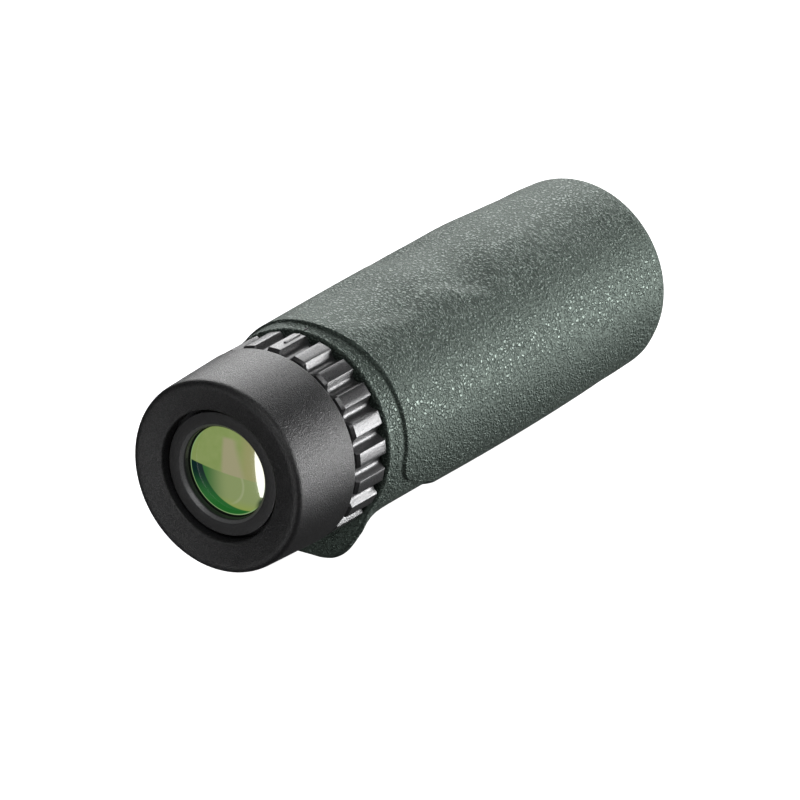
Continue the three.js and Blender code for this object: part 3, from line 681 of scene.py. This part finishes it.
def tooth_profile():
    """One pitch of the ring's outline, as (angle, depth): a flat land, a bevelled flank and a scallop."""
    half_land = [(0.0, 0.0), (0.1, 0.0), (LAND_END - 0.006, 0.0)]
    half_land += [(LAND_END, 0.012), (LAND_END + 0.008, 0.045)]
    half_flank = [(FLANK_END - 0.012, 0.70), (FLANK_END, FLANK_DEPTH)]
    points = [(-share, depth) for share, depth in half_land[2:0:-1]] + half_land + half_flank
    scallop_steps = 12
    for k in range(1, scallop_steps):
        share = FLANK_END + (1 - 2 * FLANK_END) * k / scallop_steps
        across = (k / scallop_steps - 0.5) * 2
        points.append((share, FLANK_DEPTH + (SCALLOP_DEPTH - FLANK_DEPTH) * (1 - across**2) ** 0.8))
    points += [(1 - share, depth) for share, depth in (*half_flank[::-1], *half_land[:2:-1])]
    pitch = 360 / RING_TEETH
    return [(share * pitch, depth) for share, depth in points]


def ring_points():
    """Rows of points: along the bore, over the chamfered front edge, along the teeth and back."""
    profile = tooth_profile()
    pitch = 360 / RING_TEETH
    angles = np.array([tooth * pitch + angle for tooth in range(RING_TEETH) for angle, _ in profile])
    depth = np.array([d for _ in range(RING_TEETH) for _, d in profile])
    radius = RING_OUTER - depth
    rows = []

    def add(r, station):
        rows.append(polar(r + 0 * angles, angles, station + 0 * angles))

    soft = 0.07
    land_start, land_end = RING_START + RING_CHAMFER, RING_END - 0.25
    add(RING_INNER, RING_END - 0.2)
    add(RING_INNER, RING_START + 0.3)
    add(RING_INNER + 0.3, RING_START)
    add(radius - RING_CHAMFER - soft, RING_START)
    add(radius - RING_CHAMFER, RING_START + soft)
    add(radius - soft, land_start)
    add(radius, land_start + soft)
    for k in range(1, 7):
        add(radius, land_start + (land_end - land_start) * k / 6)
    add(radius - 0.06, RING_END - 0.1)
    add(radius - 0.2, RING_END)
    add(RING_INNER + 0.3, RING_END)
    return np.array(rows)


def make_focus_ring(material):
    points = ring_points()
    replaced = ["focus_ring"]
    ring = grid_piece("focus_ring_grip", points, "focus_ring", material, replaced, RING_SHARP)
    for turn in SET_SCREW_TURNS:
        cut_set_screw_hole(ring, turn)


def cut_set_screw_hole(ring, turn):
    """A round hole from inside the ring to outside it."""
    out, side = polar(1, turn, 0) - polar(0, turn, 0), polar(1, turn + 90, 0) - polar(0, turn, 0)
    along = np.array([0, MM, 0])
    centre = polar(RING_INNER - 0.9, turn, SET_SCREW_STATION)
    near = []
    for k in range(SET_SCREW_SIDES):
        a = k / SET_SCREW_SIDES * 2 * math.pi
        near.append(centre + SET_SCREW_RADIUS * (math.cos(a) * side + math.sin(a) * along))
    far = [point + 5 * out for point in near]
    cut_through(ring, near, far, RING_SHARP)


def index_bar(name, body, material, size):
    """A narrow bar with round ends and a softened top, on top of the object and along the optical axis."""
    half_width, bottom, top = size["half_width"], size["bottom"], size["top"]
    soft = 0.35 * half_width
    levels = [(bottom, 0), (top - soft, 0), (top - 0.3 * soft, 0.3 * soft), (top, soft)]
    ends = [(size["end"] - half_width, 0), (size["start"] + half_width, math.pi)]
    points = []
    for lift, inset in levels:
        reach = half_width - inset
        for middle, turn in ends:
            for k in range(9):
                a = turn + k / 8 * math.pi
                y = EYE_RIM_Y + (middle + reach * math.sin(a)) * MM
                points.append((reach * math.cos(a) * MM, y, (AXIS_HEIGHT + lift) * MM))
    count = len(points) // len(levels)
    faces = []
    for start in range(0, len(points) - count, count):
        for i in range(count):
            j = (i + 1) % count
            faces.append((start + i, start + j, start + count + j, start + count + i))
    faces += [tuple(range(count)), tuple(range(len(points) - count, len(points)))]
    mesh = bpy.data.meshes.new(name)
    mesh.from_pydata(points, [], faces)
    return finish_piece(name, mesh, body, material)


# ------------------------------------------------------------------ eyecup and lenses


def make_eyecup(material):
    corners = [
        (12.05, 3.4, 0.2),
        (12.05, 1.0, 0.35),
        (17.72, -0.14, 1.7),
        (18.3, 16.4, 0.35),
        (15.9, 16.4, 0.1),
        (15.9, 3.4, 0.2),
    ]
    turned_piece("eyecup_cup", corners, "eyecup", material, "eyecup_rubber", fillet_steps=8)


def make_cap_ring(material):
    corners = [
        (CAP_BEVEL[0], 2.85, 0.1),
        (CAP_BEVEL[1], 2.2, 0.12),
        (11.4, 2.2, 0.15),
        (11.4, 3.6, 0.05),
        (11.0, 3.6, 0.05),
        (11.0, 7.0, 0.1),
        (10.2, 7.0, 0.1),
        (10.2, 4.35, 0.05),
        (CAP_BEVEL[0], 3.95, 0.05),
    ]
    turned_piece("eyepiece_bezel", corners, "body", material, "eyepiece_cap_ring")


def lens_face(edge, station, curve):
    """Points from the axis out. The curve is the face's radius, below 0 for a bulge away from the eye."""
    rings = 24
    radii = np.linspace(1e-4, edge, rings)
    drop = np.sqrt(curve**2 - radii**2) - math.sqrt(curve**2 - edge**2)
    return np.stack([radii, station - math.copysign(1, curve) * drop], axis=-1)


def make_lens(name, node, material, edge, near, far):
    profile = np.concatenate([lens_face(edge, *near), lens_face(edge, *far)[::-1]])
    points = turned_points(profile, LENS_STEPS)
    grid_piece(name, points, "body", material, [node], sharp=40)


def make_objective_bezel(material):
    corners = [
        (12.9, 109.6, 0.05),
        (13.4, 109.6, 0.05),
        (13.4, 112.6, 0.0),
        (14.1, 112.6, 0.05),
        (14.1, 113.9, 0.3),
        (12.9, 113.6, 0.3),
    ]
    turned_piece("objective_trim_ring", corners, "body", material, "objective_bezel")


# ------------------------------------------------------------------ stage and light


LIGHTS = [
    # name, direction from the object, distance and size in metres, watts
    ("left_softbox", (-0.471, 0.757, 0.455), 0.8, (0.62, 0.6), 5.3),
    ("right_softbox", (0.652, 0.757, -0.045), 0.8, (0.46, 0.36), 7.6),
    ("overhead", (0.47, -0.58, 0.62), 0.9, (0.5, 0.5), 2.6),
    ("front_strip", (-0.13, -0.93, -0.27), 0.9, (0.18, 0.52), 1.6),
]
FLOOR_HALF_WIDTH = 4.0         # metres
FLOOR_HEIGHT = -0.0004
WORLD_LIGHT = 0.05             # how much the backdrop lights the object


def area_light(name, direction, distance, size, power):
    """A soft panel that faces the middle of the object."""
    centre = Vector((0, 0, AXIS_HEIGHT * MM))
    data = bpy.data.lights.new(name, "AREA")
    data.shape = "RECTANGLE"
    data.size, data.size_y = size
    data.energy = power
    light = bpy.data.objects.new(name, data)
    towards = Vector(direction).normalized()
    light.location = centre + towards * distance
    light.rotation_euler = towards.to_track_quat("Z", "Y").to_euler()
    light.visible_camera = False
    bpy.context.scene.collection.objects.link(light)


def make_floor():
    """A plain pale floor that neither lights nor shades the object."""
    half = FLOOR_HALF_WIDTH
    mesh = bpy.data.meshes.new("floor")
    corners = [(-half, -half, 0), (half, -half, 0), (half, half, 0), (-half, half, 0)]
    mesh.from_pydata(corners, [], [(0, 1, 2, 3)])
    s = Shader("pale_floor", Roughness=0.9, Specular_IOR_Level=0.1)
    s.set(Base_Color=rgb(0.9, 0.9, 0.9), Emission_Color=rgb(1, 1, 1), Emission_Strength=1.0)
    mesh.materials.append(s.material)
    floor = bpy.data.objects.new("floor", mesh)
    floor.location.z = FLOOR_HEIGHT
    bpy.context.scene.collection.objects.link(floor)
    floor.visible_diffuse = False
    floor.visible_glossy = False
    floor.visible_transmission = False
    floor.visible_shadow = False


def make_backdrop():
    """A white world that the camera sees in full and the object is only faintly lit by."""
    world = bpy.data.worlds.new("studio")
    bpy.context.scene.world = world
    world.use_nodes = True
    tree = world.node_tree
    background = tree.nodes["Background"]
    path = tree.nodes.new("ShaderNodeLightPath")
    level = tree.nodes.new("ShaderNodeMapRange")
    tree.links.new(path.outputs["Is Camera Ray"], level.inputs["Value"])
    level.inputs["To Min"].default_value = WORLD_LIGHT
    level.inputs["To Max"].default_value = 1.0
    tree.links.new(level.outputs["Result"], background.inputs["Strength"])
    background.inputs["Color"].default_value = rgb(1, 1, 1)


# ------------------------------------------------------------------ assembly


def paint_cad_nodes():
    """Gives every CAD node the material of its slot."""
    black_metal = dark_metal_material("black_anodised")
    plastic = plastic_material()
    by_slot = {
        "aluminium": machined_material("machined_aluminium", 0.62, 0.32),
        "steel": machined_material("bright_steel", 0.56, 0.25),
        "black_metal": black_metal,
        "black_plastic": plastic,
        "seal_rubber": seal_material(),
        "coated_glass": glass_material("inner_coated_glass", rgb(0.93, 0.98, 0.92), rgb(0.55, 0.85, 0.45)),
        "prism_glass": glass_material("prism_glass", rgb(0.95, 0.98, 0.97), rgb(0.9, 0.95, 1.0)),
        "armour_rubber": plastic,
        "eyecup_rubber": plastic,
        "ring_metal": black_metal,
    }
    slots = {part["node"]: part["material_slot"] for part in frame["record"]["subparts"]}
    for name, node in frame["nodes"].items():
        node.data.materials.clear()
        node.data.materials.append(by_slot[slots[name]])


def make_pieces():
    cut_strap_slot(make_armour(armour_material()))
    ring_paint = ring_material()
    make_focus_ring(ring_paint)
    index_bar("focus_index_rib", "focus_ring", ring_paint, INDEX_RIB)
    # the collar's index line is drawn as a dark bar, barely proud of the collar
    index_bar("collar_index_mark", "body", dark_metal_material("collar_index_mark_dark"), INDEX_MARK)
    make_eyecup(eyecup_material())
    make_cap_ring(eyepiece_bezel_material())
    make_objective_bezel(dark_metal_material("objective_bezel_paint", 0.4))
    make_lens("eye_lens_glass", "eye_lens", eye_lens_material(), 9.9, (4.68, 35), (6.1, -30))
    objective_glass = glass_material("objective_coating", rgb(0.9, 0.97, 0.92), rgb(0.55, 0.8, 0.6))
    make_lens("objective_lens_glass", "objective_front_lens", objective_glass, 13.4, (105, 40), (107, -45))


make_camera()
make_floor()
make_backdrop()
for light in LIGHTS:
    area_light(*light)
paint_cad_nodes()
make_pieces()

bpy.context.scene.view_settings.view_transform = "Standard"
